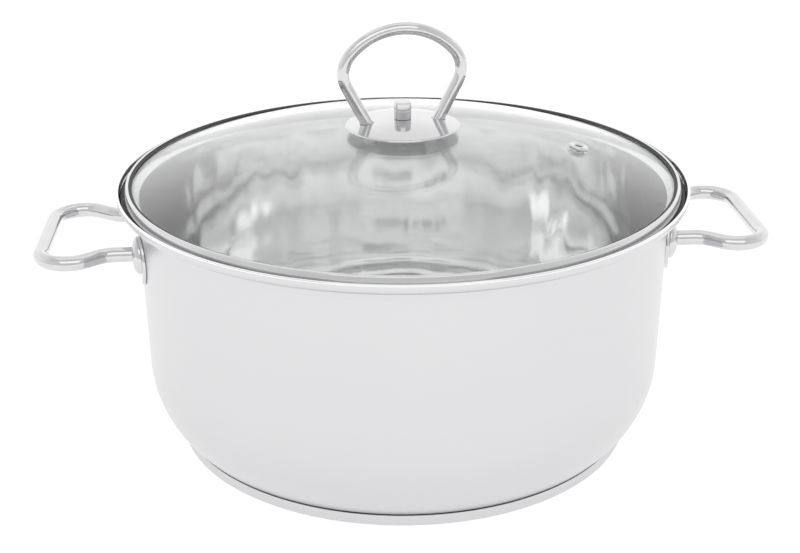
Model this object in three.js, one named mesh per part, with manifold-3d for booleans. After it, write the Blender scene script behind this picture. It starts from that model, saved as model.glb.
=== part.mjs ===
// Stainless steel stock pot with a domed glass lid.
//
// Millimetres, +Z up. The origin is the centre of the flat underside of the base, so the pot
// stands on z = 0. The two side handles lie on the X axis.

import * as THREE from 'three';
import { mergeVertices } from 'three/addons/utils/BufferGeometryUtils.js';
import Module from 'manifold-3d';

// ---------------------------------------------------------------- driving dimensions

// Pot body, a deep-drawn shell
const RIM_RADIUS = 150;            // outer edge of the flared pouring lip
const RIM_HEIGHT = 140;            // top of the lip
const NECK_RADIUS = 140;           // outside of the wall where the flare starts
const FLARE_HEIGHT = 8.3;          // the flare starts this far below the rim
const FLARE_LIFT = 0.7;            // start of the flare on the inside, above its start outside
const LIP_ROUND = 4.5;             // outside radius where the flare turns up into the lip
const LIP_TURN = 60;               // how far it turns, degrees
const LIP_STRAIGHT = 1.6;          // upright part of the lip above the turn
const LIP_THICKNESS = 1.5;         // the lip's edge is left a little thicker than the wall
const WALL = 1;                    // sheet thickness
const BELLY_RADIUS = 138.3;        // outside of the wall where it starts to round in
const BELLY_HEIGHT = 45;
const BELLY_ROUND = 54;            // large radius from the wall towards the base
const KNUCKLE_ROUND = 6;           // small radius into the flat bottom
const POT_FLOOR = 4.3;             // underside of the shell's flat bottom

// Base: an aluminium disc enclosed by a steel cap
const CAP_THICKNESS = 0.7;
const CAP_RADIUS = 122.8;
const CAP_HEIGHT = 6.3;
const CAP_ROUND = 2;
const CORE_RADIUS = 117;

// Side handles, bent from round bar
const BAR_RADIUS = 4;
const HANDLE_HEIGHT = 111.2;
const HANDLE_REACH = 188;          // bar centre at the grip, from the pot's axis
const LEG_START = 137.8;           // inner end of each leg
const LEG_HALF_SPAN = 29.5;        // legs where they meet the wall
const GRIP_HALF_SPAN = 40;         // legs at the grip
const SPREAD_START = 150;          // where the legs start to spread
const SPREAD_ANGLE = 38;
const SPREAD_ROUND = 13.9;
const GRIP_ROUND = 15;

// Flanges that carry the handles on the wall
const FLANGE_WIDTH = 22;
const FLANGE_TALL = 26;
const FLANGE_THICKNESS = 1.6;
const FLANGE_DROP = 3.4;           // plate centre below the bar
const BOSS_RADIUS = 9.8;           // boss at the plate
const BOSS_NOSE_RADIUS = 5.2;      // boss where the bar leaves it
const BOSS_LENGTH = 3;

// Lid glass, a slice of a sphere
const GLASS_TOP = 164.8;
const GLASS_SPHERE = 433;
const GLASS_RADIUS = 144;
const GLASS_THICKNESS = 3.8;
const GLASS_HOLE = 5;

// Lid band, a rolled steel ring round the glass
const BAND_RADIUS = 146;
const BAND_EYE = 143.3;            // inner edge of the band on top of the glass
const BAND_TOP = 142.1;
const BAND_SHEET = 0.6;
const SKIRT_RADIUS = 138.3;
const SKIRT_BOTTOM = 126;

// Steam vent, clinched through the glass
const VENT_DISTANCE = 92;          // from the lid's axis
const VENT_TURN = -14;             // round the lid, from the plane of the knob loop
const VENT_BORE = 2.2;
const VENT_SLEEVE = 3.2;
const VENT_FLANGE = 5.2;

// Knob: a wire loop on a domed round plate, held by a cap nut and a screw
const LID_TURN = 8.7;              // lid turned on its seat, degrees
const PLATE_RADIUS = 29.9;
const PLATE_THICKNESS = 1;
const PLATE_RISE = 3.3;            // middle of the plate above its edge
const LOOP_BAR = 3.25;
const LOOP_TOP_ROUND = 36.7;
const LOOP_TOP_CENTRE = 10.7;       // centre of the top arc above the plate
const LOOP_TOP_HALF = 48;          // half angle of the top arc
const LOOP_CORNER_ROUND = 15;
const LOOP_LEG_LEAN = 27.5;        // legs from the vertical
const FOOT_DEPTH = 3;              // bar centre at the foot, below the middle of the plate
const NUT_RADIUS = 4.6;
const NUT_HEIGHT = 9;
const SCREW_RADIUS = 2.4;
const SCREW_HEAD_RADIUS = 4.8;
const SCREW_HEAD_HEIGHT = 2.4;
const SPACER_RADIUS = 12.7;        // silicone between the glass and the plate
const SPACER_HEIGHT = 4.7;
const GASKET_THICKNESS = 0.8;      // silicone under the glass

const SEAT_GAP = 0.05;             // between flat faces that rest on each other
const FIT_GAP = 0.3;               // round bars, bores and the wall

// Facets
const ROUND = 48;
const SMALL_ROUND = 20;
const BAR_SIDES = 12;

// ---------------------------------------------------------------- materials

const material = (color, roughness, metalness) =>
  new THREE.MeshStandardMaterial({ color, roughness, metalness });

const satinSteel = () => material(0xd9dadd, 0.32, 1);
const polishedSteel = () => material(0xe4e6e8, 0.1, 1);
const aluminium = () => material(0xc4c6c8, 0.4, 1);
const rubber = () => material(0x2a2b2d, 0.7, 0);
const paleRubber = () => material(0xd5d8d8, 0.5, 0);

function clearGlass() {
  const glass = material(0xe8efee, 0.03, 0);
  glass.transparent = true;
  glass.opacity = 0.35;
  return glass;
}

// ---------------------------------------------------------------- geometry helpers

const radians = THREE.MathUtils.degToRad;
const point = (x, y) => new THREE.Vector2(x, y);

// Points on an arc from one angle to another, in degrees, both ends included.
function arc(cx, cy, radius, from, to, steps) {
  const points = [];
  for (let i = 0; i <= steps; i++) {
    const angle = radians(from + (to - from) * i / steps);
    points.push(point(cx + radius * Math.cos(angle), cy + radius * Math.sin(angle)));
  }
  return points;
}

// Solid of revolution about Z from an anticlockwise outline of (radius, height) points.
function turned(outline, segments) {
  return new THREE.LatheGeometry(outline, segments).rotateX(Math.PI / 2);
}

// Ring of revolution: the outline closes on itself.
function turnedRing(outline, segments) {
  return turned([...outline, outline[0].clone()], segments);
}

// Flat ring or washer between two radii and two heights.
function washer(inner, outer, low, high) {
  return turnedRing([point(inner, low), point(outer, low), point(outer, high), point(inner, high)],
    SMALL_ROUND);
}

// Round bar through a list of 3D points: one ring of vertices at each point.
function bar(points, radius) {
  const steps = points.length - 1;
  const path = new THREE.Curve();
  path.getPoint = t => points[Math.round(t * steps)].clone();
  path.getPointAt = path.getPoint;
  path.getTangent = t => {
    const i = Math.round(t * steps);
    const before = points[Math.max(i - 1, 0)];
    const after = points[Math.min(i + 1, steps)];
    return after.clone().sub(before).normalize();
  };
  path.getTangentAt = path.getTangent;
  const section = new THREE.Shape(arc(0, 0, radius, 0, 360, BAR_SIDES).slice(0, BAR_SIDES));
  return new THREE.ExtrudeGeometry(section, { steps, extrudePath: path, bevelEnabled: false });
}

const wasm = await Module();
wasm.setup();

function toSolid(geometry) {
  const bare = geometry.clone();
  bare.deleteAttribute('normal');
  bare.deleteAttribute('uv');
  const merged = mergeVertices(bare, 1e-4);
  return new wasm.Manifold(new wasm.Mesh({
    numProp: 3,
    vertProperties: new Float32Array(merged.attributes.position.array),
    triVerts: new Uint32Array(merged.index.array),
  }));
}

function toGeometry(solid) {
  const mesh = solid.getMesh();
  const geometry = new THREE.BufferGeometry();
  geometry.setAttribute('position', new THREE.BufferAttribute(mesh.vertProperties, 3));
  geometry.setIndex(new THREE.BufferAttribute(mesh.triVerts, 1));
  geometry.computeVertexNormals();
  return geometry;
}

function named(name, geometry, finish) {
  const mesh = new THREE.Mesh(geometry, finish);
  mesh.name = name;
  return mesh;
}

// Outer radius of the straight, slightly tapered wall at a height.
function wallRadius(height) {
  const rise = (height - BELLY_HEIGHT) / (RIM_HEIGHT - FLARE_HEIGHT - BELLY_HEIGHT);
  return BELLY_RADIUS + (NECK_RADIUS - BELLY_RADIUS) * rise;
}

// ---------------------------------------------------------------- pot

// The turn from the flare up into the lip, outside or inside.
function lipArc(radius, from, to) {
  return arc(RIM_RADIUS - LIP_ROUND, RIM_HEIGHT - LIP_STRAIGHT, radius, from, to, 3);
}

function makePotBody() {
  const flareStart = RIM_HEIGHT - FLARE_HEIGHT;
  const bellyX = BELLY_RADIUS - BELLY_ROUND;
  const knuckleZ = POT_FLOOR + KNUCKLE_ROUND;
  const drop = BELLY_HEIGHT - knuckleZ;
  const knuckleX = bellyX + Math.sqrt((BELLY_ROUND - KNUCKLE_ROUND) ** 2 - drop ** 2);
  const blend = -THREE.MathUtils.radToDeg(Math.asin(drop / (BELLY_ROUND - KNUCKLE_ROUND)));
  const outside = [
    point(0, POT_FLOOR),
    ...arc(knuckleX, knuckleZ, KNUCKLE_ROUND, -90, blend, 3),
    ...arc(bellyX, BELLY_HEIGHT, BELLY_ROUND, blend, 0, 6).slice(1),
    point(NECK_RADIUS, flareStart),
    ...lipArc(LIP_ROUND, -LIP_TURN, 0),
    point(RIM_RADIUS, RIM_HEIGHT - 0.4),
    point(RIM_RADIUS - 0.4, RIM_HEIGHT),
  ];
  const inside = [
    point(RIM_RADIUS - LIP_THICKNESS + 0.4, RIM_HEIGHT),
    point(RIM_RADIUS - LIP_THICKNESS, RIM_HEIGHT - 0.4),
    ...lipArc(LIP_ROUND - LIP_THICKNESS, 0, -LIP_TURN),
    point(NECK_RADIUS - WALL, flareStart + FLARE_LIFT),
    ...arc(bellyX, BELLY_HEIGHT, BELLY_ROUND - WALL, 0, blend, 6),
    ...arc(knuckleX, knuckleZ, KNUCKLE_ROUND - WALL, blend, -90, 3).slice(1),
    point(0, POT_FLOOR + WALL),
  ];
  return named('pot_body', turned([...outside, ...inside], ROUND), satinSteel());
}

function makeBaseCoreDisc() {
  const low = CAP_THICKNESS + SEAT_GAP;
  const high = POT_FLOOR - SEAT_GAP;
  const outline = [point(0, low), point(CORE_RADIUS, low), point(CORE_RADIUS, high), point(0, high)];
  return named('base_core_disc', turned(outline, ROUND), aluminium());
}

function makeBaseCap() {
  const roundX = CAP_RADIUS - CAP_ROUND;
  const insideRound = CAP_ROUND - CAP_THICKNESS;
  const outline = [
    point(0, 0),
    ...arc(roundX, CAP_ROUND, CAP_ROUND, -90, 0, 4),
    point(CAP_RADIUS, CAP_HEIGHT),
    point(CAP_RADIUS - 0.5, CAP_HEIGHT),
    ...arc(roundX, CAP_ROUND, insideRound, 0, -90, 3),
    point(0, CAP_THICKNESS),
  ];
  return named('base_cap', turned(outline, ROUND), satinSteel());
}

// Centreline of half a side handle, from the wall to the middle of the grip, as (reach, span).
function handleHalf() {
  const spreadEnd = GRIP_HALF_SPAN - SPREAD_ROUND;
  const rise = SPREAD_ROUND * (1 - Math.cos(radians(SPREAD_ANGLE)));
  const run = SPREAD_ROUND * Math.sin(radians(SPREAD_ANGLE));
  const slant = GRIP_HALF_SPAN - LEG_HALF_SPAN - 2 * rise;
  const secondX = SPREAD_START + 2 * run + slant / Math.tan(radians(SPREAD_ANGLE));
  return [
    point(LEG_START, LEG_HALF_SPAN),
    ...arc(SPREAD_START, LEG_HALF_SPAN + SPREAD_ROUND, SPREAD_ROUND, -90, -90 + SPREAD_ANGLE, 3),
    ...arc(secondX, spreadEnd, SPREAD_ROUND, 90 + SPREAD_ANGLE, 90, 3),
    ...arc(HANDLE_REACH - GRIP_ROUND, GRIP_HALF_SPAN - GRIP_ROUND, GRIP_ROUND, 90, 0, 6).slice(1),
  ];
}

function makeSideHandle(name, side) {
  const half = handleHalf();
  const flat = [...half, ...half.map(p => point(p.x, -p.y)).reverse()];
  const points = flat.map(p => new THREE.Vector3(side * p.x, side * p.y, HANDLE_HEIGHT));
  return named(name, bar(points, BAR_RADIUS), polishedSteel());
}

// Solid bounded by the outside of the wall, grown by a clearance, with the wall's own facets.
function wallSolid(clearance) {
  const low = 70;
  const high = RIM_HEIGHT - FLARE_HEIGHT;
  const outline = [
    point(0, low),
    point(wallRadius(low) + clearance, low),
    point(wallRadius(high) + clearance, high),
    point(0, high),
  ];
  return toSolid(turned(outline, ROUND));
}

// Domed boss whose axis leans up from the plate's centre to the bar's centre.
function leaningBoss(start, nose, plateHeight) {
  const length = nose - start;
  const outline = [
    point(0, 0),
    point(BOSS_RADIUS, 0),
    point(BOSS_RADIUS, length - BOSS_LENGTH),
    point(BOSS_RADIUS - 0.7, length - 0.5 * BOSS_LENGTH),
    point(BOSS_RADIUS - 2.3, length - 0.15 * BOSS_LENGTH),
    point(BOSS_NOSE_RADIUS, length),
    point(0, length),
  ];
  const lean = FLANGE_DROP / length;
  const shear = new THREE.Matrix4().set(1, 0, 0, 0, 0, 1, 0, 0, lean, 0, 1, 0, 0, 0, 0, 1);
  return turned(outline, SMALL_ROUND)
    .rotateY(Math.PI / 2)
    .applyMatrix4(shear)
    .translate(start, 0, plateHeight);
}

// A welded flange: an oval plate curved to the wall, with a boss round the end of the bar.
// The rough solid is cut back to the wall and pierced for the bar.
function makeFlange(name, side, end) {
  const span = end * LEG_HALF_SPAN;
  const plateHeight = HANDLE_HEIGHT - FLANGE_DROP;
  const plateFace = Math.sqrt((wallRadius(plateHeight) + FLANGE_THICKNESS) ** 2 - span ** 2);
  const blankStart = plateFace - 12;
  const blankLength = 24;

  const blank = new THREE.CylinderGeometry(FLANGE_WIDTH / 2, FLANGE_WIDTH / 2, blankLength, SMALL_ROUND)
    .rotateZ(Math.PI / 2)
    .scale(1, 1, FLANGE_TALL / FLANGE_WIDTH)
    .translate(blankStart + blankLength / 2, span, plateHeight);
  const plate = toSolid(blank).intersect(wallSolid(FIT_GAP + FLANGE_THICKNESS));
  const boss = leaningBoss(plateFace - 8, plateFace + BOSS_LENGTH, plateHeight).translate(0, span, 0);
  const boreRadius = BAR_RADIUS + FIT_GAP;
  const bore = new THREE.CylinderGeometry(boreRadius, boreRadius, 3 * blankLength, SMALL_ROUND)
    .rotateZ(Math.PI / 2)
    .translate(plateFace, span, HANDLE_HEIGHT);

  const solid = plate.add(toSolid(boss)).subtract(wallSolid(FIT_GAP)).subtract(toSolid(bore));
  const flange = named(name, toGeometry(solid), polishedSteel());
  flange.rotation.z = side > 0 ? 0 : Math.PI;
  return flange;
}

// ---------------------------------------------------------------- lid

// Angle of elevation, in degrees, of a radius on one of the glass's spheres.
function sphereAngle(radius, sphere) {
  return THREE.MathUtils.radToDeg(Math.acos(radius / sphere));
}

const sphereCentre = GLASS_TOP - GLASS_SPHERE;
const innerSphere = GLASS_SPHERE - GLASS_THICKNESS;

// Places a group on top of the glass at the vent, with its Z axis square to the surface.
function placeAtVent(object) {
  const tilt = Math.asin(VENT_DISTANCE / GLASS_SPHERE);
  const turn = radians(VENT_TURN);
  object.position.set(
    VENT_DISTANCE * Math.cos(turn),
    VENT_DISTANCE * Math.sin(turn),
    sphereCentre + GLASS_SPHERE * Math.cos(tilt),
  );
  object.rotation.set(0, tilt, turn, 'ZYX');
  object.updateMatrix();
  return object;
}

function makeLidGlass() {
  const edge = sphereAngle(GLASS_RADIUS, GLASS_SPHERE);
  const outline = [
    ...arc(0, sphereCentre, innerSphere, sphereAngle(GLASS_HOLE, innerSphere), edge, 9),
    ...arc(0, sphereCentre, GLASS_SPHERE, edge, sphereAngle(GLASS_HOLE, GLASS_SPHERE), 9),
  ];
  const holeRadius = VENT_SLEEVE + FIT_GAP;
  const drill = new THREE.CylinderGeometry(holeRadius, holeRadius, 5 * GLASS_THICKNESS, SMALL_ROUND)
    .rotateX(Math.PI / 2)
    .applyMatrix4(placeAtVent(new THREE.Group()).matrix);
  const pierced = toSolid(turnedRing(outline, ROUND)).subtract(toSolid(drill));
  return named('lid_glass', toGeometry(pierced), clearGlass());
}

// Height of the pot's inner flare at a radius.
function mouthHeight(radius) {
  const low = point(NECK_RADIUS - WALL, RIM_HEIGHT - FLARE_HEIGHT + FLARE_LIFT);
  const [high] = lipArc(LIP_ROUND - LIP_THICKNESS, -LIP_TURN, 0);
  return low.y + (radius - low.x) * (high.y - low.y) / (high.x - low.x);
}

// The band is one sheet: a lip on the glass, an outer wall, a slope that rests in the flare
// of the pot and a skirt that drops inside the wall.
function makeLidBand() {
  const under = radius => mouthHeight(radius) + 0.45;
  const over = radius => under(radius) + 1.1 * BAND_SHEET;
  const inner = SKIRT_RADIUS - BAND_SHEET;
  const shoulder = BAND_RADIUS - BAND_SHEET;
  const outline = [
    point(inner, SKIRT_BOTTOM),
    point(SKIRT_RADIUS, SKIRT_BOTTOM),
    point(SKIRT_RADIUS, under(SKIRT_RADIUS)),
    point(BAND_RADIUS - 0.5, under(BAND_RADIUS - 0.5)),
    point(BAND_RADIUS, under(BAND_RADIUS) + 0.4),
    point(BAND_RADIUS, BAND_TOP - 0.9),
    point(BAND_RADIUS - 0.4, BAND_TOP - 0.3),
    point(BAND_RADIUS - 1.1, BAND_TOP),
    point(BAND_EYE + 0.2, BAND_TOP),
    point(BAND_EYE, BAND_TOP - 0.2),
    point(BAND_EYE, BAND_TOP - BAND_SHEET),
    point(shoulder - 0.5, BAND_TOP - BAND_SHEET),
    point(shoulder, BAND_TOP - BAND_SHEET - 0.5),
    point(shoulder, over(shoulder) + 0.4),
    point(shoulder - 0.5, over(shoulder - 0.5)),
    point(inner, over(inner)),
  ];
  return named('lid_band', turnedRing(outline, ROUND), polishedSteel());
}

// Rubber strip between the glass and the band; its lip shows as a thin dark ring.
function makeLidSeal() {
  const top = BAND_TOP - BAND_SHEET - SEAT_GAP;
  const outer = BAND_RADIUS - BAND_SHEET - FIT_GAP;
  const lip = top - 0.4;
  const outline = [
    point(BAND_EYE - 1.6, lip),
    point(GLASS_RADIUS + FIT_GAP, lip),
    point(GLASS_RADIUS + FIT_GAP, top - 2.5),
    point(outer, top - 2.5),
    point(outer, top - 0.4),
    point(outer - 0.4, top),
    point(BAND_EYE - 1.4, top),
  ];
  return named('lid_seal', turnedRing(outline, ROUND), rubber());
}

// Rubber ring round the band, low in the groove between the band and the pot's lip.
function makeLidRestRing() {
  const inner = BAND_RADIUS + FIT_GAP;
  const turn = lipArc(LIP_ROUND - LIP_THICKNESS - 0.4, -LIP_TURN, -40);
  const outline = [point(inner, mouthHeight(inner) + 0.45), ...turn, point(inner, turn[3].y)];
  return named('lid_rest_ring', turnedRing(outline, ROUND), rubber());
}

// Eyelet: a rounded flange on the glass with a sleeve through it.
function makeVentEyelet() {
  const low = -GLASS_THICKNESS - 2.4;
  const outline = [
    point(VENT_BORE, low),
    point(VENT_SLEEVE, low),
    point(VENT_SLEEVE, FIT_GAP),
    point(VENT_FLANGE, FIT_GAP),
    ...arc(VENT_FLANGE - 0.9, FIT_GAP + 0.5, 0.9, 0, 90, 3),
    point(VENT_BORE + 0.9, FIT_GAP + 1.4),
    point(VENT_BORE, FIT_GAP + 0.6),
  ];
  return named('vent_eyelet', turnedRing(outline, SMALL_ROUND), polishedSteel());
}

// Washer under the glass that the sleeve is clinched against.
function makeVentWasher() {
  const top = -GLASS_THICKNESS - FIT_GAP;
  return named('vent_washer', washer(VENT_SLEEVE + FIT_GAP, VENT_FLANGE, top - 1, top), polishedSteel());
}

// ---------------------------------------------------------------- knob

const gasketLow = GLASS_TOP + SEAT_GAP;
const spacerTop = gasketLow + SPACER_HEIGHT;
const plateSphere = (PLATE_RADIUS ** 2 + PLATE_RISE ** 2) / (2 * PLATE_RISE);
const spacerSag = SPACER_RADIUS ** 2 / (2 * plateSphere);
const plateTop = spacerTop + spacerSag + PLATE_THICKNESS + 2 * SEAT_GAP;
const lowerGasketTop = GLASS_TOP - GLASS_THICKNESS - 0.2;
const washerTop = lowerGasketTop - GASKET_THICKNESS - SEAT_GAP;
const lockWasherTop = washerTop - 1 - SEAT_GAP;
const headTop = lockWasherTop - 1 - SEAT_GAP;
const screwHole = SCREW_RADIUS + FIT_GAP;

// Centreline of half the loop, from its foot in the plate to its crown, as (offset, height)
// above the middle of the plate.
function loopHalf() {
  const topHalf = radians(LOOP_TOP_HALF);
  const shift = LOOP_TOP_ROUND - LOOP_CORNER_ROUND;
  const cornerX = shift * Math.sin(topHalf);
  const cornerY = LOOP_TOP_CENTRE + shift * Math.cos(topHalf);
  const corner = arc(cornerX, cornerY, LOOP_CORNER_ROUND, -LOOP_LEG_LEAN, 90 - LOOP_TOP_HALF, 6);
  const crown = arc(0, LOOP_TOP_CENTRE, LOOP_TOP_ROUND, 90 - LOOP_TOP_HALF, 90, 5).slice(1);
  const lean = Math.tan(radians(LOOP_LEG_LEAN));
  const footX = corner[0].x - (corner[0].y + FOOT_DEPTH) * lean;
  return [point(footX, -FOOT_DEPTH), ...corner, ...crown];
}

function loopPoints(foot) {
  const half = loopHalf();
  half[0] = foot(half[0], half[1]);
  const mirrored = half.slice(0, -1).map(p => point(-p.x, p.y)).reverse();
  return [...half, ...mirrored].map(p => new THREE.Vector3(p.x, 0, plateTop + p.y));
}

function makeKnobLoop() {
  const points = loopPoints(p => p);
  return named('knob_loop', bar(points, LOOP_BAR), polishedSteel());
}

function makeKnobPlate() {
  const centre = plateTop - plateSphere;
  const underSphere = plateSphere - PLATE_THICKNESS;
  const outline = [
    ...arc(0, centre, underSphere, sphereAngle(screwHole, underSphere),
      sphereAngle(PLATE_RADIUS - 0.3, underSphere), 6),
    ...arc(0, centre, plateSphere, sphereAngle(PLATE_RADIUS, plateSphere),
      sphereAngle(screwHole, plateSphere), 6),
  ];
  // The holes follow the leaning legs, so the cutter is the loop with longer feet.
  const deeper = (end, next) => end.clone().add(end.clone().sub(next).setLength(5));
  const cutter = toSolid(bar(loopPoints(deeper), LOOP_BAR + FIT_GAP));
  const pierced = toSolid(turnedRing(outline, ROUND)).subtract(cutter);
  return named('knob_plate', toGeometry(pierced), polishedSteel());
}

function makeKnobNut() {
  const low = plateTop + SEAT_GAP;
  const high = low + NUT_HEIGHT;
  const roof = high - 1.6;
  const outline = [
    point(0, roof),
    point(screwHole, roof),
    point(screwHole, low),
    point(NUT_RADIUS, low),
    point(NUT_RADIUS, high - 0.6),
    point(NUT_RADIUS - 0.6, high - 0.1),
    point(0, high),
  ];
  return named('knob_nut', turned(outline, SMALL_ROUND), polishedSteel());
}

function makeKnobScrew() {
  const tip = plateTop + NUT_HEIGHT - 2;
  const outline = [
    point(0, headTop - SCREW_HEAD_HEIGHT),
    point(SCREW_HEAD_RADIUS - 1, headTop - SCREW_HEAD_HEIGHT + 0.2),
    point(SCREW_HEAD_RADIUS, headTop - SCREW_HEAD_HEIGHT + 1.2),
    point(SCREW_HEAD_RADIUS, headTop),
    point(SCREW_RADIUS, headTop),
    point(SCREW_RADIUS, tip - 0.4),
    point(SCREW_RADIUS - 0.4, tip),
    point(0, tip),
  ];
  return named('knob_screw', turned(outline, SMALL_ROUND), satinSteel());
}

function makeKnobFastenings() {
  const lowerGasketLow = lowerGasketTop - GASKET_THICKNESS;
  const bushOuter = GLASS_HOLE - FIT_GAP;
  const bushLow = lowerGasketTop + SEAT_GAP;
  return [
    named('knob_spacer', washer(screwHole, SPACER_RADIUS, gasketLow, spacerTop), paleRubber()),
    named('knob_hole_bush', washer(screwHole, bushOuter, bushLow, GLASS_TOP), paleRubber()),
    named('knob_lower_gasket', washer(screwHole, 10, lowerGasketLow, lowerGasketTop), paleRubber()),
    named('knob_washer', washer(screwHole, 8.5, washerTop - 1, washerTop), satinSteel()),
    named('knob_lock_washer', washer(screwHole, 4.9, lockWasherTop - 1, lockWasherTop), satinSteel()),
  ];
}

// ---------------------------------------------------------------- assembly

const pot = new THREE.Group();
pot.add(makePotBody(), makeBaseCoreDisc(), makeBaseCap());
for (const [sideName, side] of [['right', 1], ['left', -1]]) {
  pot.add(makeSideHandle(`side_handle_${sideName}`, side));
  for (const [endName, end] of [['front', -1], ['rear', 1]]) {
    pot.add(makeFlange(`handle_flange_${sideName}_${endName}`, side, side * end));
  }
}

const vent = placeAtVent(new THREE.Group());
vent.add(makeVentEyelet(), makeVentWasher());

const lid = new THREE.Group();
lid.rotation.z = radians(LID_TURN);
lid.add(makeLidGlass(), makeLidBand(), makeLidSeal(), makeLidRestRing(), vent);
lid.add(makeKnobPlate(), makeKnobLoop(), makeKnobNut(), makeKnobScrew(), ...makeKnobFastenings());

const stockPot = new THREE.Group();
stockPot.add(pot, lid);

export default stockPot;
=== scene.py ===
"""Looks of the stock pot: smooth steel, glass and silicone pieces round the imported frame.

Sizes are in millimetres in this script and become metres when a mesh is made. Heights and
radii that the frame knows are read from it; the others are named below.
"""
import math

import bmesh
import bpy
from mathutils import Matrix, Vector


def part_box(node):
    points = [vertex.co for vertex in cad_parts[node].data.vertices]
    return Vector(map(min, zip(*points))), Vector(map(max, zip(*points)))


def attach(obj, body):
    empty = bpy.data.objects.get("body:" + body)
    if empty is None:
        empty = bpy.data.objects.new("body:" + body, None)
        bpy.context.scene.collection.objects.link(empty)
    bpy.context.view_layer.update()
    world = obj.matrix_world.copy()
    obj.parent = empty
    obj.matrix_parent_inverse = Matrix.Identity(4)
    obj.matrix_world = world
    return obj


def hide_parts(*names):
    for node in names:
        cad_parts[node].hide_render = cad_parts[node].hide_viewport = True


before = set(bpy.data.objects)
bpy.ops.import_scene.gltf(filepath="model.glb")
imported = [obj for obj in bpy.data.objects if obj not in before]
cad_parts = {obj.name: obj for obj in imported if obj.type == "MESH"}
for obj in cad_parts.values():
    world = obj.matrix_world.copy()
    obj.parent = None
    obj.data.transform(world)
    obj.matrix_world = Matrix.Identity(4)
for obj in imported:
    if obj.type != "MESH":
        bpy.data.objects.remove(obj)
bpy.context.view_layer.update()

MM = 0.001


def low_mm(node):
    """Lowest corner of a CAD node, in millimetres."""
    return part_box(node)[0] / MM


def high_mm(node):
    """Highest corner of a CAD node, in millimetres."""
    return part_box(node)[1] / MM


# ------------------------------------------------------------------ sizes

# Pot
RIM_RADIUS = high_mm("pot_body").y
RIM_HEIGHT = high_mm("pot_body").z
POT_FLOOR = low_mm("pot_body").z
NECK_RADIUS = 140
FLARE_HEIGHT = 8.3
FLARE_LIFT = 0.7                   # start of the flare on the inside, above its start outside
FLARE_CREASE = 0.8                 # the wall starts to turn this far below the flare
LIP_ROUND = 4.5
LIP_TURN = 60
LIP_STRAIGHT = 1.6
LIP_THICKNESS = 1.5
LIP_EDGE_ROUND = 0.55
WALL = 1
BELLY_RADIUS = 138.3
BELLY_HEIGHT = 45
BELLY_ROUND = 54
KNUCKLE_ROUND = 6
CAP_RADIUS = high_mm("base_cap").y
CAP_HEIGHT = high_mm("base_cap").z
CAP_THICKNESS = 0.7
CAP_ROUND = 2

# Side handles and their flanges
HANDLE_HEIGHT = (low_mm("side_handle_right").z + high_mm("side_handle_right").z) / 2
BAR_RADIUS = (high_mm("side_handle_right").z - low_mm("side_handle_right").z) / 2
HANDLE_REACH = high_mm("side_handle_right").x - BAR_RADIUS
GRIP_HALF_SPAN = high_mm("side_handle_right").y - BAR_RADIUS
LEG_START = low_mm("side_handle_right").x
LEG_HALF_SPAN = 29.5
SPREAD_START = 150
SPREAD_ANGLE = 38
SPREAD_ROUND = 13.9
GRIP_ROUND = 15
FLANGE_LOW = low_mm("handle_flange_right_front").z
FLANGE_HIGH = high_mm("handle_flange_right_front").z
FLANGE_NOSE = high_mm("handle_flange_right_front").x
FLANGE_WIDTH = 22
FLANGE_THICKNESS = 1.6
BOSS_RADIUS = 9.8
BOSS_NOSE_RADIUS = 5.2
BOSS_DROP = 0.9                    # the boss's middle lies this far below the bar's
BORE_SLACK = 0.08                  # between the bar and the boss

# Lid
LID_TURN = 8.7
GLASS_TOP = high_mm("lid_glass").z
GLASS_SPHERE = 433
GLASS_RADIUS = 144
GLASS_THICKNESS = 3.8
GLASS_HOLE = 5
BAND_RADIUS = 146
BAND_EYE = 143.3
BAND_TOP = high_mm("lid_band").z
BAND_SHEET = 0.6
BAND_TAPER = 1                     # the band narrows this much towards its top
BAND_SHOULDER = RIM_HEIGHT - 2.6   # height where it starts to narrow
BAND_TOP_ROUND = 1
REST_GAP = 0.45                    # between the flare and the band resting in it
SKIRT_RADIUS = 138.3
SKIRT_BOTTOM = low_mm("lid_band").z
VENT_DISTANCE = 92
VENT_TURN = -14
VENT_BORE = 2.2
VENT_SLEEVE = 3.2
VENT_FLANGE = 5.1
VENT_DEPTH = 2.4                   # how far the eyelet reaches below the glass
VENT_SEAT = 0.15                   # between the glass and the eyelet's flange
SEAL_LIP_REACH = 1.6               # from the edge of the band in over the glass
SEAL_LIP_THICKNESS = 0.4
SEAL_DEPTH = 2.5
SHADE_RING_TOP = -40                # where on the lip's turn the near-black ring of painted gap shade ends, in degrees

# Knob
LOOP_BAR = 3.25
LOOP_TOP_ROUND = 36.7
LOOP_TOP_CENTRE = 10.7
LOOP_TOP_HALF = 48
LOOP_CORNER_ROUND = 15
LOOP_LEG_LEAN = 27.5
FOOT_DEPTH = 3
PLATE_RADIUS = 29.9
PLATE_THICKNESS = 1
PLATE_RISE = 3.3
PLATE_TOP = high_mm("knob_loop").z - LOOP_BAR - LOOP_TOP_ROUND - LOOP_TOP_CENTRE  # its middle
PLATE_SPHERE = (PLATE_RADIUS ** 2 + PLATE_RISE ** 2) / (2 * PLATE_RISE)
NUT_RADIUS = 4.6
NUT_CAP = 1.6                      # closed top of the nut above the screw
SCREW_RADIUS = 2.4
SCREW_HEAD = 4.8
SCREW_HEAD_HEIGHT = 2.4
SCREW_HOLE = 2.7

# Clearance between parts that are fixed to each other
GAP = 0.3

# Facets of the fine meshes
ROUND = 288
SMALL_ROUND = 96
BAR_SIDES = 32
FLANGE_SIDES = 72


# ------------------------------------------------------------------ mesh helpers

def arc(cx, cy, radius, start, end, steps):
    """Points on an arc between two angles in degrees, both ends included."""
    points = []
    for i in range(steps + 1):
        angle = math.radians(start + (end - start) * i / steps)
        points.append((cx + radius * math.cos(angle), cy + radius * math.sin(angle)))
    return points


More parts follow.
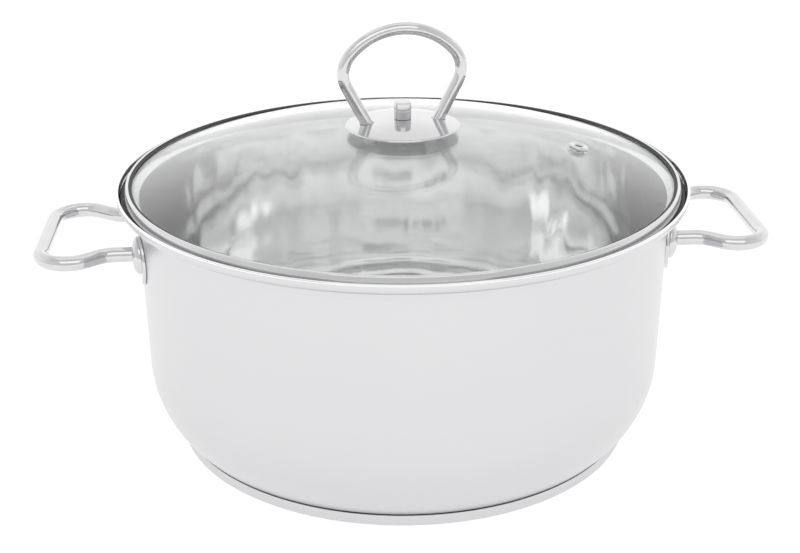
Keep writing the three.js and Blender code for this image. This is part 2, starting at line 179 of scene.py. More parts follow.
def make_piece(name, vertices, faces, body, node, materials, finish=None, sharp=32):
    """A smooth-shaded mesh from millimetres; edges sharper than the angle stay crisp.

    The finish gives each face the number of its material."""
    mesh = bpy.data.meshes.new(name)
    mesh.from_pydata([Vector(v) * MM for v in vertices], [], faces)
    if finish:
        mesh.polygons.foreach_set("material_index", finish)
    piece = bpy.data.objects.new(name, mesh)
    bpy.context.scene.collection.objects.link(piece)
    for material in materials:
        mesh.materials.append(material)
    shape = bmesh.new()
    shape.from_mesh(mesh)
    bmesh.ops.remove_doubles(shape, verts=shape.verts, dist=1e-7)
    bmesh.ops.recalc_face_normals(shape, faces=shape.faces)
    for face in shape.faces:
        face.smooth = True
    for edge in shape.edges:
        if len(edge.link_faces) == 2:
            edge.smooth = edge.calc_face_angle(0) < math.radians(sharp)
    shape.to_mesh(mesh)
    shape.free()
    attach(piece, body)
    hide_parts(node)
    return piece


def ring_faces(rows, segments, closed):
    """Faces between rings of vertices, from the last ring to the first as well if closed."""
    faces = []
    for row in range(rows if closed else rows - 1):
        below = row * segments
        above = (row + 1) % rows * segments
        for i in range(segments):
            j = (i + 1) % segments
            faces.append((below + i, below + j, above + j, above + i))
    return faces


def lathe(outline, segments, closed=False):
    """Vertices and faces of an outline of (radius, height) points turned about Z."""
    vertices = []
    for radius, height in outline:
        for i in range(segments):
            angle = 2 * math.pi * i / segments
            vertices.append((radius * math.cos(angle), radius * math.sin(angle), height))
    return vertices, ring_faces(len(outline), segments, closed)


def washer_outline(inner, outer, low, high, edge=0.15):
    """Flat ring with slightly broken outer edges."""
    return [
        (inner, low), (outer - edge, low), (outer, low + edge),
        (outer, high - edge), (outer - edge, high), (inner, high),
    ]


def sweep(points, radius, sides):
    """Round bar along 3D points in one plane, closed by flat ends."""
    path = [Vector(p) for p in points]
    first = (path[0] - path[1]).normalized()
    last = (path[-1] - path[-2]).normalized()
    plane = (path[1] - path[0]).cross(path[len(path) // 2] - path[0]).normalized()
    vertices = []
    rings = []
    for i, centre in enumerate(path):
        before = path[max(i - 1, 0)]
        after = path[min(i + 1, len(path) - 1)]
        along = (after - before).normalized()
        across = along.cross(plane)
        ring = []
        for side in range(sides):
            angle = 2 * math.pi * side / sides
            ring.append(len(vertices))
            vertices.append(centre + radius * (math.cos(angle) * across + math.sin(angle) * plane))
        rings.append(ring)
    faces = []
    for ring, following in zip(rings, rings[1:]):
        for side in range(sides):
            other = (side + 1) % sides
            faces.append((ring[side], ring[other], following[other], following[side]))
    faces.append(tuple(reversed(rings[0])))
    faces.append(tuple(rings[-1]))
    return vertices, faces


def turned(vertices, degrees):
    """Vertices turned about Z."""
    turn = Matrix.Rotation(math.radians(degrees), 3, "Z")
    return [turn @ Vector(v) for v in vertices]


def eased(a, b, steps):
    """Values from a to b in equal steps, without a."""
    return [a + (b - a) * (i + 1) / steps for i in range(steps)]


def lerped(first, last, steps):
    """Points from first to last in equal steps, without first."""
    return list(zip(eased(first[0], last[0], steps), eased(first[1], last[1], steps)))


def pierce(piece, vertices, faces):
    """Cuts a closed shape out of a piece and applies the cut."""
    mesh = bpy.data.meshes.new("cutter")
    mesh.from_pydata([Vector(v) * MM for v in vertices], [], faces)
    shape = bmesh.new()
    shape.from_mesh(mesh)
    bmesh.ops.remove_doubles(shape, verts=shape.verts, dist=1e-6)
    bmesh.ops.recalc_face_normals(shape, faces=shape.faces)
    shape.to_mesh(mesh)
    shape.free()
    cutter = bpy.data.objects.new("cutter", mesh)
    bpy.context.scene.collection.objects.link(cutter)
    cut = piece.modifiers.new("cut", "BOOLEAN")
    cut.operation = "DIFFERENCE"
    cut.solver = "EXACT"
    cut.object = cutter
    bpy.context.view_layer.update()
    graph = bpy.context.evaluated_depsgraph_get()
    result = bpy.data.meshes.new_from_object(piece.evaluated_get(graph))
    piece.modifiers.clear()
    piece.data = result
    bpy.data.objects.remove(cutter)


# ------------------------------------------------------------------ materials

def new_material(name, color, roughness, metallic):
    material = bpy.data.materials.new(name)
    material.use_nodes = True
    shader = material.node_tree.nodes["Principled BSDF"]
    shader.inputs["Base Color"].default_value = (*color, 1)
    shader.inputs["Roughness"].default_value = roughness
    shader.inputs["Metallic"].default_value = metallic
    return material, material.node_tree, shader


def noise(tree, vector, scale, detail=2, distortion=0):
    """Noise from 0 to 1 over a vector."""
    texture = tree.nodes.new("ShaderNodeTexNoise")
    texture.inputs["Scale"].default_value = scale
    texture.inputs["Detail"].default_value = detail
    texture.inputs["Distortion"].default_value = distortion
    tree.links.new(vector, texture.inputs["Vector"])
    return texture.outputs["Fac"]


def mapped(tree, source, low, high, to_low=0, to_high=1):
    """The source with low and high moved to two new values, and no further."""
    fit = tree.nodes.new("ShaderNodeMapRange")
    fit.inputs["From Min"].default_value = low
    fit.inputs["From Max"].default_value = high
    fit.inputs["To Min"].default_value = to_low
    fit.inputs["To Max"].default_value = to_high
    tree.links.new(source, fit.inputs["Value"])
    return fit.outputs[0]


def tinted(tree, factor, first, second):
    """Colour that goes from the first to the second."""
    tint = tree.nodes.new("ShaderNodeMix")
    tint.data_type = "RGBA"
    tint.inputs[6].default_value = (*first, 1)
    tint.inputs[7].default_value = (*second, 1)
    tree.links.new(factor, tint.inputs["Factor"])
    return tint.outputs[2]


def bumped(tree, height, strength, distance):
    """Bump node whose first output is the normal."""
    relief = tree.nodes.new("ShaderNodeBump")
    relief.inputs["Strength"].default_value = strength
    relief.inputs["Distance"].default_value = distance
    tree.links.new(height, relief.inputs["Height"])
    return relief


def steel(name, color, roughness, lines, spread, bump, anisotropy, waves=0, tone_and_reflection_factor=0.94, patches=14):
    """Steel with fine turned lines round the Z axis, cloudy roughness and a faint bump.

    Waves are the height in metres of long upright ripples, as drawing leaves in a shell.
    The tone and reflection factor is how dark the cloudy tint gets: a random tone, and on the
    polished steels a painted reflection of darker streaks. Patches is how many clouds a metre
    holds."""
    material, tree, shader = new_material(name, color, roughness, 1)
    shader.inputs["Anisotropic"].default_value = anisotropy
    nodes = tree.nodes
    link = tree.links.new
    place = nodes.new("ShaderNodeTexCoord").outputs["Object"]

    # Radius and height, so that the lines run round the axis.
    split = nodes.new("ShaderNodeSeparateXYZ")
    link(place, split.inputs[0])
    flat = nodes.new("ShaderNodeCombineXYZ")
    link(split.outputs["X"], flat.inputs["X"])
    link(split.outputs["Y"], flat.inputs["Y"])
    radius = nodes.new("ShaderNodeVectorMath")
    radius.operation = "LENGTH"
    link(flat.outputs[0], radius.inputs[0])
    rings = nodes.new("ShaderNodeCombineXYZ")
    link(radius.outputs["Value"], rings.inputs["X"])
    link(split.outputs["Z"], rings.inputs["Y"])

    grain = noise(tree, rings.outputs[0], lines, 3)
    cloud = noise(tree, place, patches, 4)
    both = nodes.new("ShaderNodeMix")
    both.inputs["Factor"].default_value = 0.5
    link(grain, both.inputs[2])
    link(cloud, both.inputs[3])
    uneven = both.outputs[0]
    rough = mapped(tree, uneven, 0.3, 0.7, max(roughness - spread, 0.01), roughness + spread)
    link(rough, shader.inputs["Roughness"])
    # Cloudy tint: a random tone, and on the polished steels a painted reflection of darker streaks.
    darker = [tone_and_reflection_factor * c for c in color]
    link(tinted(tree, uneven, darker, color), shader.inputs["Base Color"])

    relief = bumped(tree, grain, bump, 0.0001)
    link(relief.outputs[0], shader.inputs["Normal"])
    if waves:
        squeeze = nodes.new("ShaderNodeMapping")
        squeeze.inputs["Scale"].default_value = (1, 1, 0.35)
        link(place, squeeze.inputs["Vector"])
        ripple = noise(tree, squeeze.outputs[0], 20, distortion=0.3)
        link(bumped(tree, ripple, 1, waves).outputs[0], relief.inputs["Normal"])
    if anisotropy:
        tangent = nodes.new("ShaderNodeTangent")
        tangent.direction_type = "RADIAL"
        tangent.axis = "Z"
        link(tangent.outputs[0], shader.inputs["Tangent"])
    return material


def silicone(name, color):
    """Matte rubber with a fine mottled surface."""
    material, tree, shader = new_material(name, color, 0.55, 0)
    place = tree.nodes.new("ShaderNodeTexCoord").outputs["Object"]
    speck = noise(tree, place, 900)
    tree.links.new(mapped(tree, speck, 0, 1, 0.45, 0.7), shader.inputs["Roughness"])
    darker = [0.7 * c for c in color]
    tree.links.new(tinted(tree, speck, darker, color), shader.inputs["Base Color"])
    return material


def clear_glass(name):
    """Tempered soda-lime glass with a barely uneven surface."""
    material, tree, shader = new_material(name, (0.985, 0.995, 0.99), 0.01, 0)
    shader.inputs["Transmission Weight"].default_value = 1
    shader.inputs["IOR"].default_value = 1.5
    place = tree.nodes.new("ShaderNodeTexCoord").outputs["Object"]
    wave = noise(tree, place, 18, 1)
    tree.links.new(bumped(tree, wave, 0.05, 0.001).outputs[0], shader.inputs["Normal"])
    tint = tinted(tree, wave, (0.975, 0.99, 0.985), (0.99, 1, 0.995))
    tree.links.new(tint, shader.inputs["Base Color"])
    return material


satin_outside = steel("satin_steel", (0.67, 0.67, 0.68), 0.32, 900, 0.02, 0.05, 0.5)
# On the polished inside and the polished steel, the darker cloudy streaks are painted reflections.
polished_inside = steel("polished_inside", (0.92, 0.92, 0.92), 0.1, 500, 0.03, 0.05, 0,
                        waves=0.0035, tone_and_reflection_factor=0.82)
polished = steel("polished_steel", (0.74, 0.74, 0.75), 0.1, 300, 0.03, 0.02, 0,
                 waves=0.0006, tone_and_reflection_factor=0.72, patches=45)
plain_steel = steel("plain_steel", (0.66, 0.66, 0.67), 0.3, 900, 0.06, 0.1, 0)
aluminium = steel("aluminium_core", (0.75, 0.76, 0.77), 0.4, 700, 0.08, 0.15, 0.3)
# Near-black ring in the groove at the lid's edge: painted shade of the gap between band and lip.
dark_silicone = silicone("dark_silicone", (0.012, 0.012, 0.013))
seal_silicone = silicone("seal_silicone", (0.045, 0.045, 0.047))
pale_silicone = silicone("clear_silicone", (0.72, 0.74, 0.74))
glass = clear_glass("clear_glass")


# ------------------------------------------------------------------ pot

def wall_radius(height):
    """Outside radius of the straight, slightly tapered wall."""
    rise = (height - BELLY_HEIGHT) / (RIM_HEIGHT - FLARE_HEIGHT - BELLY_HEIGHT)
    return BELLY_RADIUS + (NECK_RADIUS - BELLY_RADIUS) * rise


def lip_arc(radius, start, end, steps):
    """The turn from the flare up into the lip, outside or inside."""
    return arc(RIM_RADIUS - LIP_ROUND, RIM_HEIGHT - LIP_STRAIGHT, radius, start, end, steps)


def make_pot_body():
    flare_start = RIM_HEIGHT - FLARE_HEIGHT
    belly_x = BELLY_RADIUS - BELLY_ROUND
    knuckle_z = POT_FLOOR + KNUCKLE_ROUND
    drop = BELLY_HEIGHT - knuckle_z
    reach = BELLY_ROUND - KNUCKLE_ROUND
    knuckle_x = belly_x + math.sqrt(reach ** 2 - drop ** 2)
    blend = -math.degrees(math.asin(drop / reach))

    outside = [(r, POT_FLOOR) for r in (0.001, 30, 60, 90)]
    outside += arc(knuckle_x, knuckle_z, KNUCKLE_ROUND, -90, blend, 10)
    outside += arc(belly_x, BELLY_HEIGHT, BELLY_ROUND, blend, 0, 40)[1:]
    wall_heights = eased(BELLY_HEIGHT, flare_start - FLARE_CREASE, 16)
    outside += [(wall_radius(h), h) for h in wall_heights]
    outside += [(NECK_RADIUS + 0.3, flare_start - 0.1), (NECK_RADIUS + 1, flare_start + 0.3)]
    turn_out = lip_arc(LIP_ROUND, -LIP_TURN, 0, 12)
    outside += lerped(outside[-1], turn_out[0], 6) + turn_out[1:]
    lip = [(RIM_RADIUS, RIM_HEIGHT - 0.9)]
    edge_z = RIM_HEIGHT - LIP_EDGE_ROUND
    lip += arc(RIM_RADIUS - LIP_EDGE_ROUND, edge_z, LIP_EDGE_ROUND, 0, 90, 6)
    inner_edge = RIM_RADIUS - LIP_THICKNESS + LIP_EDGE_ROUND
    lip += arc(inner_edge, edge_z, LIP_EDGE_ROUND, 90, 180, 6)
    inside = lip_arc(LIP_ROUND - LIP_THICKNESS, 0, -LIP_TURN, 12)
    flare_foot = (NECK_RADIUS - WALL + 0.6, flare_start + FLARE_LIFT + 0.25)
    inside += lerped(inside[-1], flare_foot, 6)
    inside += [(NECK_RADIUS - WALL + 0.15, flare_start + FLARE_LIFT - 0.1)]
    inside += [(wall_radius(h) - WALL, h) for h in eased(flare_start, BELLY_HEIGHT, 16)]
    inside += arc(belly_x, BELLY_HEIGHT, BELLY_ROUND - WALL, 0, blend, 40)[1:]
    inside += arc(knuckle_x, knuckle_z, KNUCKLE_ROUND - WALL, blend, -90, 10)[1:]
    inside += [(r, POT_FLOOR + WALL) for r in (90, 60, 30, 0.001)]
    outline = outside + lip + inside
    vertices, faces = lathe(outline, ROUND)
    # The lip and the inside are polished; every vertex after the outside's belongs to them.
    first_bright = len(outside) * ROUND
    finish = [int(min(face) >= first_bright) for face in faces]
    make_piece("pot_shell", vertices, faces, "pot", "pot_body",
               [satin_outside, polished_inside], finish, 40)


def make_base_cap():
    round_x = CAP_RADIUS - CAP_ROUND
    outline = [(r, 0) for r in (0.001, 40, 80, 110)]
    outline += arc(round_x, CAP_ROUND, CAP_ROUND, -90, 0, 8)
    outline += arc(CAP_RADIUS - 0.3, CAP_HEIGHT - 0.3, 0.3, 0, 180, 6)
    outline += arc(round_x, CAP_ROUND, CAP_ROUND - CAP_THICKNESS, 0, -90, 6)
    outline += [(r, CAP_THICKNESS) for r in (80, 40, 0.001)]
    vertices, faces = lathe(outline, ROUND)
    make_piece("base_cap_shell", vertices, faces, "pot", "base_cap", [satin_outside])


def handle_half():
    """Centreline of half a side handle, from the wall to the grip, as (reach, span)."""
    angle = math.radians(SPREAD_ANGLE)
    rise = SPREAD_ROUND * (1 - math.cos(angle))
    slant = GRIP_HALF_SPAN - LEG_HALF_SPAN - 2 * rise
    second_x = SPREAD_START + 2 * SPREAD_ROUND * math.sin(angle) + slant / math.tan(angle)
    half = [(LEG_START, LEG_HALF_SPAN), (SPREAD_START - 6, LEG_HALF_SPAN)]
    first_y = LEG_HALF_SPAN + SPREAD_ROUND
    second_y = GRIP_HALF_SPAN - SPREAD_ROUND
    half += arc(SPREAD_START, first_y, SPREAD_ROUND, -90, SPREAD_ANGLE - 90, 12)
    half += arc(second_x, second_y, SPREAD_ROUND, 90 + SPREAD_ANGLE, 90, 12)
    grip_y = GRIP_HALF_SPAN - GRIP_ROUND
    half += arc(HANDLE_REACH - GRIP_ROUND, grip_y, GRIP_ROUND, 90, 0, 24)[1:]
    return half


def make_side_handle(name, side):
    half = handle_half()
    flat = half + [(x, -y) for x, y in reversed(half)]
    points = [(side * x, side * y, HANDLE_HEIGHT) for x, y in flat]
    vertices, faces = sweep(points, BAR_RADIUS, BAR_SIDES)
    make_piece(f"{name}_bar", vertices, faces, "pot", name, [polished])


def make_flange(node, side, end):
    """Oval plate curved to the wall with a low domed boss round the bar."""
    span = end * LEG_HALF_SPAN
    centre_z = (FLANGE_LOW + FLANGE_HIGH) / 2
    half_wide = FLANGE_WIDTH / 2
    half_tall = (FLANGE_HIGH - FLANGE_LOW) / 2
    bore = BAR_RADIUS + BORE_SLACK
    boss_z = HANDLE_HEIGHT - BOSS_DROP
    face = GAP + FLANGE_THICKNESS

    def ring(wide, tall, height, out=None, x=None):
        """Oval ring that stands off the wall by a distance or lies at one reach."""
        points = []
        for i in range(FLANGE_SIDES):
            angle = 2 * math.pi * i / FLANGE_SIDES
            y = span + wide * math.cos(angle)
            z = height + tall * math.sin(angle)
            reach = x if out is None else math.sqrt(wall_radius(z) ** 2 - y ** 2) + out
            points.append(Vector((side * reach, side * y, z)))
        return points

    rings = [
        ring(bore, bore, HANDLE_HEIGHT, out=GAP),
        ring(bore, bore, HANDLE_HEIGHT, x=FLANGE_NOSE - 0.3),
        ring(bore + 0.25, bore + 0.25, HANDLE_HEIGHT, x=FLANGE_NOSE),
    ]
    nose = ring(BOSS_NOSE_RADIUS, BOSS_NOSE_RADIUS, HANDLE_HEIGHT, x=FLANGE_NOSE - 0.05)
    base = ring(BOSS_RADIUS, BOSS_RADIUS, boss_z, out=face + 0.05)
    steps = 14
    for i in range(steps + 1):
        along = math.sin(math.pi / 2 * i / steps)
        down = 1 - math.cos(math.pi / 2 * i / steps)
        blended = []
        for top, foot in zip(nose, base):
            point = top.lerp(foot, along)
            point.x = top.x + (foot.x - top.x) * down
            blended.append(point)
        rings.append(blended)
    rings += [
        ring(BOSS_RADIUS + 0.5, BOSS_RADIUS + 0.5, boss_z, out=face),
        ring(half_wide - 0.7, half_tall - 0.7, centre_z, out=face),
        ring(half_wide - 0.2, half_tall - 0.2, centre_z, out=face - 0.2),
        ring(half_wide, half_tall, centre_z, out=face - 0.6),
        ring(half_wide, half_tall, centre_z, out=GAP),
    ]
    vertices = [point for points in rings for point in points]
    faces = ring_faces(len(rings), FLANGE_SIDES, closed=True)
    make_piece(f"{node}_plate", vertices, faces, "pot", node, [polished])


# ------------------------------------------------------------------ lid

SPHERE_CENTRE = GLASS_TOP - GLASS_SPHERE
INNER_SPHERE = GLASS_SPHERE - GLASS_THICKNESS


def sphere_angle(radius, sphere):
    """Elevation in degrees of the points of a sphere at a distance from its axis."""
    return math.degrees(math.acos(radius / sphere))


def vent_matrix():
    """Frame on top of the glass at the vent, with Z square to the surface."""
    tilt = math.asin(VENT_DISTANCE / GLASS_SPHERE)
    turn = math.radians(LID_TURN + VENT_TURN)
    place = Vector((VENT_DISTANCE * math.cos(turn), VENT_DISTANCE * math.sin(turn),
                    SPHERE_CENTRE + GLASS_SPHERE * math.cos(tilt)))
    turned_out = Matrix.Rotation(turn, 4, "Z") @ Matrix.Rotation(tilt, 4, "Y")
    return Matrix.Translation(place) @ turned_out


def make_lid_glass():
    edge = sphere_angle(GLASS_RADIUS, GLASS_SPHERE)
    hole_inside = sphere_angle(GLASS_HOLE, INNER_SPHERE)
    hole_outside = sphere_angle(GLASS_HOLE, GLASS_SPHERE)
    outline = arc(0, SPHERE_CENTRE, INNER_SPHERE, hole_inside, edge, 60)
    outline += arc(0, SPHERE_CENTRE, GLASS_SPHERE, edge, hole_outside, 60)
    vertices, faces = lathe(outline, ROUND, closed=True)
    dome = make_piece("lid_glass_dome", vertices, faces, "lid", "lid_glass",
                      [glass])
    drill_outline = [(0.001, -20), (VENT_SLEEVE + 0.1, -20), (VENT_SLEEVE + 0.1, 20), (0.001, 20)]
    drill_vertices, drill_faces = lathe(drill_outline, SMALL_ROUND)
    place = vent_matrix()
    pierce(dome, [place @ Vector(v) for v in drill_vertices], drill_faces)


def mouth_height(radius):
    """Height of the pot's inner flare at a radius."""
    low_radius = NECK_RADIUS - WALL
    low_height = RIM_HEIGHT - FLARE_HEIGHT + FLARE_LIFT
    high_radius, high_height = lip_arc(LIP_ROUND - LIP_THICKNESS, -LIP_TURN, 0, 1)[0]
    slope = (high_height - low_height) / (high_radius - low_radius)
    return low_height + slope * (radius - low_radius)


def make_lid_band():
    def under(radius):
        return mouth_height(radius) + REST_GAP

    def over(radius):
        return under(radius) + 1.1 * BAND_SHEET

    inner = SKIRT_RADIUS - BAND_SHEET
    shoulder = BAND_RADIUS - BAND_SHEET
    hem = BAND_SHEET / 2
    outline = arc(SKIRT_RADIUS - hem, SKIRT_BOTTOM + hem, hem, 180, 360, 8)
    outline += [
        (SKIRT_RADIUS, under(SKIRT_RADIUS) - 0.4),
        (SKIRT_RADIUS + 0.4, under(SKIRT_RADIUS + 0.4)),
        (BAND_RADIUS - 0.9, under(BAND_RADIUS - 0.9)),
        (BAND_RADIUS - 0.3, under(BAND_RADIUS) - 0.05),
        (BAND_RADIUS, under(BAND_RADIUS) + 0.5),
        (BAND_RADIUS, BAND_SHOULDER),
    ]
    outline += arc(BAND_RADIUS - BAND_TAPER - BAND_TOP_ROUND, BAND_TOP - BAND_TOP_ROUND,
                   BAND_TOP_ROUND, 16, 90, 8)
    outline += arc(BAND_EYE + 0.3, BAND_TOP - 0.3, 0.3, 90, 270, 8)
    outline += [
        (shoulder - 1.4, BAND_TOP - BAND_SHEET),
        (shoulder - 0.9, BAND_TOP - BAND_SHEET - 0.5),
        (shoulder, BAND_SHOULDER),
        (shoulder, over(shoulder) + 0.4),
        (shoulder - 0.5, over(shoulder - 0.5)),
        (inner, over(inner)),
    ]
    vertices, faces = lathe(outline, ROUND, closed=True)
    make_piece("lid_band_ring", vertices, faces, "lid", "lid_band", [polished])


def make_lid_seal():
    """Strip between the glass and the band, with a thin lip over the edge of the glass."""
    top = BAND_TOP - BAND_SHEET - 0.05
    outer = BAND_RADIUS - BAND_SHEET - GAP
    lip = top - SEAL_LIP_THICKNESS
    inner = BAND_EYE - SEAL_LIP_REACH
    foot = top - SEAL_DEPTH
    outline = [
        (inner, lip), (GLASS_RADIUS + GAP, lip), (GLASS_RADIUS + GAP, foot), (outer - 0.3, foot),
        (outer - 0.65, top - 0.7), (outer - 1.2, top), (inner + 0.3, top), (inner, top - 0.2),
    ]
    vertices, faces = lathe(outline, ROUND, closed=True)
    make_piece("lid_seal_strip", vertices, faces, "lid", "lid_seal",
               [seal_silicone])


def make_gap_shade_ring():
    """Near-black matte ring in the groove between the band and the pot's lip: painted shade of the
    gap.
    """
    inner = BAND_RADIUS + 0.1
    turn = lip_arc(LIP_ROUND - LIP_THICKNESS - 0.3, -LIP_TURN, SHADE_RING_TOP, 12)
    top = turn[-1][1]
    outline = [(inner, mouth_height(inner) + REST_GAP)]
    outline += turn + [(turn[-1][0] - 0.3, top + 0.05), (inner, top)]
    vertices, faces = lathe(outline, ROUND, closed=True)
    make_piece("lid_gap_shade_strip", vertices, faces, "lid", "lid_rest_ring",
               [dark_silicone])


def make_vent():
    place = vent_matrix()
    low = -GLASS_THICKNESS - VENT_DEPTH
    seat = VENT_SEAT
    eyelet = [(VENT_BORE, low), (VENT_SLEEVE, low), (VENT_SLEEVE, seat), (VENT_FLANGE - 0.1, seat)]
    eyelet += arc(VENT_FLANGE - 1, seat + 0.7, 1.0, -20, 90, 8)
    eyelet += arc(VENT_BORE + 1, seat + 0.7, 1.0, 90, 180, 8)
    vertices, faces = lathe(eyelet, SMALL_ROUND, closed=True)
    make_piece("vent_eyelet_ring", [place @ Vector(v) for v in vertices], faces, "lid",
               "vent_eyelet", [polished])
    top = -GLASS_THICKNESS - GAP
    outline = washer_outline(VENT_SLEEVE + 0.1, VENT_FLANGE, top - 1, top)
    vertices, faces = lathe(outline, SMALL_ROUND, closed=True)
    make_piece("vent_washer_ring", [place @ Vector(v) for v in vertices], faces, "lid",
               "vent_washer", [polished])


# ------------------------------------------------------------------ knob

def loop_half():
    """Centreline of half the loop from its foot to its crown, as (offset, height)."""
    shift = LOOP_TOP_ROUND - LOOP_CORNER_ROUND
    half_angle = math.radians(LOOP_TOP_HALF)
    corner_x = shift * math.sin(half_angle)
    corner_y = LOOP_TOP_CENTRE + shift * math.cos(half_angle)
    corner = arc(corner_x, corner_y, LOOP_CORNER_ROUND, -LOOP_LEG_LEAN, 90 - LOOP_TOP_HALF, 30)
    crown = arc(0, LOOP_TOP_CENTRE, LOOP_TOP_ROUND, 90 - LOOP_TOP_HALF, 90, 30)[1:]
    foot_x = corner[0][0] - (corner[0][1] + FOOT_DEPTH) * math.tan(math.radians(LOOP_LEG_LEAN))
    return [(foot_x, -FOOT_DEPTH)] + corner + crown


def loop_points():
    half = loop_half()
    flat = half + [(-x, y) for x, y in reversed(half[:-1])]
    return turned([(x, 0, PLATE_TOP + y) for x, y in flat], LID_TURN)


def make_knob_loop():
    vertices, faces = sweep(loop_points(), LOOP_BAR, BAR_SIDES)
    make_piece("knob_loop_bar", vertices, faces, "lid", "knob_loop", [polished])


def make_knob_plate():
    """Domed disc pierced by the two feet of the loop."""
    centre = PLATE_TOP - PLATE_SPHERE
    under = PLATE_SPHERE - PLATE_THICKNESS
    rim = PLATE_RADIUS - 0.35
    outline = arc(0, centre, under, sphere_angle(SCREW_HOLE, under), sphere_angle(rim, under), 30)
    top = arc(0, centre, PLATE_SPHERE, sphere_angle(rim, PLATE_SPHERE),
              sphere_angle(SCREW_HOLE, PLATE_SPHERE), 30)
    rim_middle = (outline[-1][1] + top[0][1]) / 2
    outline += [(PLATE_RADIUS - 0.1, rim_middle - 0.3), (PLATE_RADIUS, rim_middle)]
    outline += [(PLATE_RADIUS - 0.1, rim_middle + 0.3)] + top
    vertices, faces = lathe(outline, ROUND, closed=True)
    plate = make_piece("knob_plate_disc", vertices, faces, "lid", "knob_plate",
                       [polished])
    longer = loop_points()
    longer[0] += (longer[0] - longer[1]).normalized() * 5
    longer[-1] += (longer[-1] - longer[-2]).normalized() * 5
    cut_vertices, cut_faces = sweep(longer, LOOP_BAR + GAP, BAR_SIDES)
    pierce(plate, cut_vertices, cut_faces)


def make_knob_fixings():
    """Cap nut, screw, spacer, bush, gasket and washers on the knob's axis."""
    low = low_mm("knob_nut").z
    high = high_mm("knob_nut").z
    outline = [(0.001, high - NUT_CAP), (SCREW_HOLE, high - NUT_CAP), (SCREW_HOLE, low)]
    outline += arc(NUT_RADIUS - 0.2, low + 0.2, 0.2, -90, 0, 4)
    outline += arc(NUT_RADIUS - 0.6, high - 0.7, 0.6, 0, 80, 8)
    outline += [(2, high - 0.03), (0.001, high)]
    vertices, faces = lathe(outline, SMALL_ROUND)
    make_piece("knob_nut_cap", vertices, faces, "lid", "knob_nut", [polished])

    low = low_mm("knob_screw").z
    high = high_mm("knob_screw").z
    under_head = low + SCREW_HEAD_HEIGHT
    outline = [(0.001, low)] + arc(0, low + 7, 7, -85, -50, 8)
    outline += [
        (SCREW_HEAD, low + 1.7), (SCREW_HEAD, under_head), (SCREW_RADIUS, under_head),
        (SCREW_RADIUS, high - 0.4), (SCREW_RADIUS - 0.4, high), (0.001, high),
    ]
    vertices, faces = lathe(outline, SMALL_ROUND)
    make_piece("knob_screw_pin", vertices, faces, "lid", "knob_screw", [plain_steel])

    rings = [
        ("knob_spacer", "clear_silicone", pale_silicone),
        ("knob_hole_bush", "clear_silicone", pale_silicone),
        ("knob_lower_gasket", "clear_silicone", pale_silicone),
        ("knob_washer", "satin_steel", plain_steel),
        ("knob_lock_washer", "satin_steel", plain_steel),
    ]
    for node, slot, material in rings:
        reach = (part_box(node)[1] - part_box(node)[0]) / MM
        outline = washer_outline(SCREW_HOLE, reach.x / 2, low_mm(node).z, high_mm(node).z)
        vertices, faces = lathe(outline, SMALL_ROUND, closed=True)
        make_piece(f"{node}_ring", vertices, faces, "lid", node, [material])


# ------------------------------------------------------------------ build

make_pot_body()
make_base_cap()
for side_name, side in (("right", 1), ("left", -1)):
    make_side_handle(f"side_handle_{side_name}", side)
    for end_name, end in (("front", -1), ("rear", 1)):
        make_flange(f"handle_flange_{side_name}_{end_name}", side, side * end)
make_lid_glass()
make_lid_band()
make_lid_seal()
make_gap_shade_ring()
make_vent()
make_knob_loop()
make_knob_plate()
make_knob_fixings()

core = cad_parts["base_core_disc"]
core.data.materials.clear()
core.data.materials.append(aluminium)


# ------------------------------------------------------------------ stage

FLOOR_REACH = 9                    # half its width, far larger than any view
FLOOR_DROP = 0.0003                # just under the base, so that the two faces don't meet
TABLE_GLOW = 0.7                   # the table top is a softly lit white sheet
SKY_STRENGTH = 1.45


def make_floor():
    """Wide pale sheet that can be seen through from below."""
    mesh = bpy.data.meshes.new("floor")
    corners = [(-1, -1), (1, -1), (1, 1), (-1, 1)]
    mesh.from_pydata([(FLOOR_REACH * x, FLOOR_REACH * y, -FLOOR_DROP) for x, y in corners],
                     [], [(0, 1, 2, 3)])
    floor = bpy.data.objects.new("floor", mesh)
    bpy.context.scene.collection.objects.link(floor)
    material, tree, shader = new_material("pale_floor", (0.5, 0.5, 0.5), 0.9, 0)
    shader.inputs["Specular IOR Level"].default_value = 0.1
    shader.inputs["Emission Color"].default_value = (1, 1, 1, 1)
    shader.inputs["Emission Strength"].default_value = TABLE_GLOW
    # From below the sheet is clear, so that the underside of the pot can be seen.
    surface = tree.nodes.new("ShaderNodeNewGeometry")
    clear = tree.nodes.new("ShaderNodeBsdfTransparent")
    either = tree.nodes.new("ShaderNodeMixShader")
    tree.links.new(surface.outputs["Backfacing"], either.inputs["Fac"])
    tree.links.new(shader.outputs[0], either.inputs[1])
    tree.links.new(clear.outputs[0], either.inputs[2])
    tree.links.new(either.outputs[0], tree.nodes["Material Output"].inputs["Surface"])
    mesh.materials.append(material)


def graded(tree, source, stops):
    """Brightness as a smooth curve through (value, brightness) stops."""
    curve = tree.nodes.new("ShaderNodeValToRGB")
    curve.color_ramp.interpolation = "EASE"
    tree.links.new(source, curve.inputs["Fac"])
    elements = curve.color_ramp.elements
    while len(elements) < len(stops):
        elements.new(0.5)
    for element, (value, brightness) in zip(elements, stops):
        element.position = value
        element.color = (brightness, brightness, brightness, 1)
    return curve.outputs["Color"]


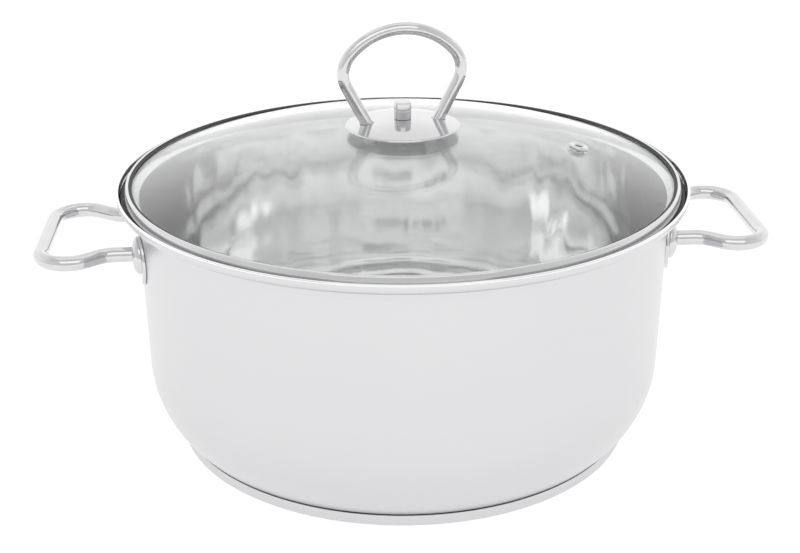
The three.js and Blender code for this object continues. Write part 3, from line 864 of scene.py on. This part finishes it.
def make_sky():
    """Pale sky, brightest a little above the horizon and brighter behind the pot."""
    world = bpy.data.worlds.new("studio")
    bpy.context.scene.world = world
    world.use_nodes = True
    tree = world.node_tree
    sky = tree.nodes["Background"]
    direction = tree.nodes.new("ShaderNodeTexCoord")
    parts = tree.nodes.new("ShaderNodeSeparateXYZ")
    tree.links.new(direction.outputs["Generated"], parts.inputs[0])
    height = mapped(tree, parts.outputs["Z"], 0, 1)
    depth = mapped(tree, parts.outputs["Y"], -1, 1)
    by_height = graded(tree, height, [(0, 0.78), (0.3, 0.86), (0.65, 0.74), (1, 0.62)])
    by_depth = graded(tree, depth, [(0, 0.66), (0.35, 0.78), (0.65, 0.95), (1, 1.0)])
    blend = tree.nodes.new("ShaderNodeMix")
    blend.data_type = "RGBA"
    blend.blend_type = "MULTIPLY"
    blend.inputs["Factor"].default_value = 1
    tree.links.new(by_height, blend.inputs[6])
    tree.links.new(by_depth, blend.inputs[7])
    tree.links.new(blend.outputs[2], sky.inputs["Color"])
    sky.inputs["Strength"].default_value = SKY_STRENGTH


def area_light(name, place, target, width, height, power):
    """Rectangular light in watts, turned to face the target; places are in metres."""
    data = bpy.data.lights.new(name, "AREA")
    data.shape = "RECTANGLE"
    data.size = width
    data.size_y = height
    data.energy = power
    light = bpy.data.objects.new(name, data)
    light.location = place
    light.rotation_mode = "QUATERNION"
    light.rotation_quaternion = (Vector(target) - Vector(place)).to_track_quat("-Z", "Y")
    bpy.context.scene.collection.objects.link(light)


make_floor()
make_sky()
area_light("top_softbox", (0, 0.3, 1.9), (0, 0, 0.1), 1.8, 1.4, 2)
area_light("front_softbox", (0, -1.5, 1.5), (0, -0.2, 0), 2.2, 1.0, 5)


# ------------------------------------------------------------------ camera

CAMERA_TURN = 4.3                  # the handles are turned this much from square to the view
CAMERA_PITCH = 22.63
CAMERA_ROLL = -0.17
CAMERA_DISTANCE = 0.75             # level distance from the pot's axis
CAMERA_HEIGHT = RIM_HEIGHT * MM + 0.2544
CAMERA_LENS = 67.15
CAMERA_SHIFT = -0.004              # the pot stands just right of the middle

camera_data = bpy.data.cameras.new("camera")
camera = bpy.data.objects.new("camera", camera_data)
bpy.context.scene.collection.objects.link(camera)
camera_data.sensor_width = 36
camera_data.lens = CAMERA_LENS
camera_data.shift_x = CAMERA_SHIFT
camera_data.clip_start = 0.02
camera_data.clip_end = 40
turn = math.radians(CAMERA_TURN)
place = Vector((-CAMERA_DISTANCE * math.sin(turn), -CAMERA_DISTANCE * math.cos(turn),
                CAMERA_HEIGHT))
camera.matrix_world = (
    Matrix.Translation(place)
    @ Matrix.Rotation(-turn, 4, "Z")
    @ Matrix.Rotation(math.radians(90 - CAMERA_PITCH), 4, "X")
    @ Matrix.Rotation(math.radians(CAMERA_ROLL), 4, "Z")
)
bpy.context.scene.camera = camera

view = bpy.context.scene.view_settings
view.view_transform = "Standard"
view.look = "None"
